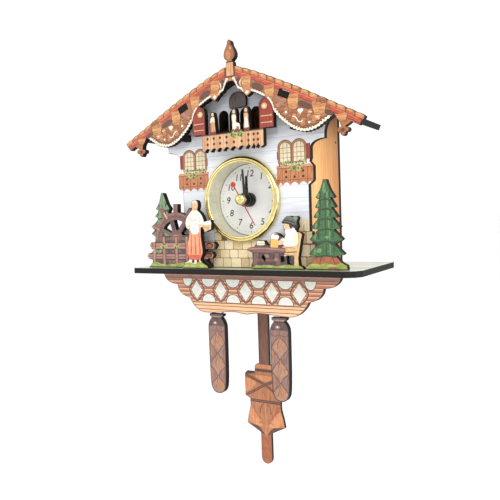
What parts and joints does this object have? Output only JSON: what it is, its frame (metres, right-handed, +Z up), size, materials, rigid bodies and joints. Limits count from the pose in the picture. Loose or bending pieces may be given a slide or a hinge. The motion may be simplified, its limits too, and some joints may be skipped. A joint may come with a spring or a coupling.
{
  "type": "pendulum wall clock",
  "caption": "Chalet-shaped wall clock of layered printed boards: scalloped gable, balcony, scenery on a shelf, gold-rimmed quartz dial, hanging weights and a swinging pendulum.",
  "frame": {"origin": "where the wall nail bears, at the top of the keyhole slot in the back panel, in the wall's plane", "axes": "+X to the clock's right as seen from the front, +Y from the dial towards the wall, +Z up"},
  "size_m": [0.2048, 0.0816, 0.3322],
  "materials": {
    "printed_wall": "pale blue-grey printed planks, satin, black laser-cut edges",
    "printed_gable": "printed tiles, carved lobes and red shutters, satin",
    "printed_scene": "printed scenery and figures, satin",
    "printed_green": "printed spruce branches, satin",
    "printed_apron": "printed red-brown and tan lattice, satin",
    "printed_cone": "printed brown scales, satin",
    "printed_pendulum": "printed orange-brown wood, satin",
    "warm_wood": "orange-brown board with vertical grain, satin",
    "dark_board": "black-stained board, satin",
    "green_top": "dark green printed top, black edges",
    "gold_plating": "polished gold plating",
    "dial_white": "white printed dial",
    "hand_black": "black lacquered pressing",
    "hand_red": "red lacquered pressing",
    "case_plastic": "black moulding",
    "gear_plastic": "ivory moulding",
    "steel": "bright steel",
    "copper_wire": "enamelled copper winding",
    "circuit_green": "green circuit board",
    "battery_skin": "plain dark sleeve",
    "soft_black": "black elastomer"
  },
  "bodies": {
    "clock": {"facade": "printed_wall", "back_panel": "warm_wood", "shelf": "green_top", "apron": "printed_apron", "side_panel_left": "warm_wood", "side_panel_right": "warm_wood", "roof_board_left": "dark_board", "roof_board_right": "dark_board", "weight_bracket_left": "steel", "weight_bracket_right": "steel", "gable_front": "printed_gable", "gable_spacer_left": "dark_board", "gable_spacer_right": "dark_board", "balcony_floor": "dark_board", "cuckoo_door": "printed_cone", "mill_scenery": "printed_scene", "woman_figure": "printed_scene", "table_scenery": "printed_scene", "spruce_tree": "printed_green", "drive_case": "case_plastic", "drive_coil": "copper_wire", "pivot_pin": "steel", "dial_bezel": "gold_plating", "dial_plate": "dial_white", "retaining_ring": "soft_black", "centre_nut": "hand_black", "front_case": "case_plastic", "rear_case": "case_plastic", "case_screw_1": "steel", "case_screw_2": "steel", "case_screw_3": "steel", "case_screw_4": "steel", "gear_plate": "gear_plastic", "battery": "battery_skin", "battery_contact_minus": "steel", "battery_contact_plus": "steel", "stator": "steel", "stator_coil": "copper_wire", "circuit_board": "circuit_green"},
    "second_arbor": {"second_wheel": "gear_plastic", "second_hand": "hand_red", "second_cap": "gold_plating"},
    "minute_arbor": {"cannon_pinion": "gear_plastic", "minute_hand": "hand_black"},
    "hour_pipe": {"hour_wheel": "gear_plastic", "hour_hand": "hand_black"},
    "minute_wheel": {"minute_wheel": "gear_plastic"},
    "centre_wheel": {"centre_wheel": "gear_plastic"},
    "third_wheel": {"third_wheel": "gear_plastic"},
    "intermediate_wheel": {"intermediate_wheel": "gear_plastic"},
    "rotor": {"rotor": "gear_plastic"},
    "setting_knob": {"setting_knob": "gear_plastic"},
    "pendulum": {"pendulum_board": "printed_pendulum", "pendulum_hanger": "case_plastic", "hanger_magnet": "steel"},
    "weight_left": {"weight_left": "printed_cone", "weight_hook_left": "steel"},
    "weight_right": {"weight_right": "printed_cone", "weight_hook_right": "steel"}
  },
  "joints": [
    {"name": "second_spin", "type": "hinge", "parent": "clock", "child": "second_arbor", "pos_m": [0, -0.0427, -0.066], "axis": [0, 1, 0], "continuous": true},
    {"name": "intermediate_spin", "type": "hinge", "parent": "clock", "child": "intermediate_wheel", "pos_m": [0.0106, -0.0417, -0.06106], "axis": [0, 1, 0], "continuous": true},
    {"name": "rotor_spin", "type": "hinge", "parent": "clock", "child": "rotor", "pos_m": [0.01991, -0.0407, -0.0627], "axis": [0, 1, 0], "continuous": true},
    {"name": "third_spin", "type": "hinge", "parent": "clock", "child": "third_wheel", "pos_m": [-0.00996, -0.0447, -0.06025], "axis": [0, 1, 0], "continuous": true},
    {"name": "centre_spin", "type": "hinge", "parent": "clock", "child": "centre_wheel", "pos_m": [0, -0.0462, -0.066], "axis": [0, 1, 0], "continuous": true},
    {"name": "minute_spin", "type": "hinge", "parent": "clock", "child": "minute_arbor", "pos_m": [0, -0.0477, -0.066], "axis": [0, 1, 0], "continuous": true},
    {"name": "minute_wheel_spin", "type": "hinge", "parent": "clock", "child": "minute_wheel", "pos_m": [0, -0.0477, -0.0572], "axis": [0, 1, 0], "continuous": true},
    {"name": "hour_spin", "type": "hinge", "parent": "clock", "child": "hour_pipe", "pos_m": [0, -0.0489, -0.066], "axis": [0, 1, 0], "continuous": true},
    {"name": "setting_knob_spin", "type": "hinge", "parent": "clock", "child": "setting_knob", "pos_m": [0.00301, -0.0357, -0.04893], "axis": [0, 1, 0], "continuous": true},
    {"name": "pendulum_swing", "type": "hinge", "parent": "clock", "child": "pendulum", "pos_m": [0, -0.0422, -0.099], "axis": [0, 1, 0], "range_deg": [-6, 6]},
    {"name": "weight_left_swing", "type": "hinge", "parent": "clock", "child": "weight_left", "pos_m": [-0.0279, -0.0564, -0.1475], "axis": [0, 1, 0], "range_deg": [-3, 3]},
    {"name": "weight_right_swing", "type": "hinge", "parent": "clock", "child": "weight_right", "pos_m": [0.0279, -0.0564, -0.1475], "axis": [0, 1, 0], "range_deg": [-3, 3]}
  ],
  "couplings": [
    {"joint": "intermediate_spin", "follows": "second_spin", "ratio": -5},
    {"joint": "rotor_spin", "follows": "second_spin", "ratio": 30},
    {"joint": "third_spin", "follows": "second_spin", "ratio": -0.13333},
    {"joint": "centre_spin", "follows": "second_spin", "ratio": 0.016667},
    {"joint": "minute_wheel_spin", "follows": "minute_spin", "ratio": -0.33333},
    {"joint": "hour_spin", "follows": "minute_spin", "ratio": 0.083333},
    {"joint": "setting_knob_spin", "follows": "minute_spin", "ratio": 1}
  ]
}
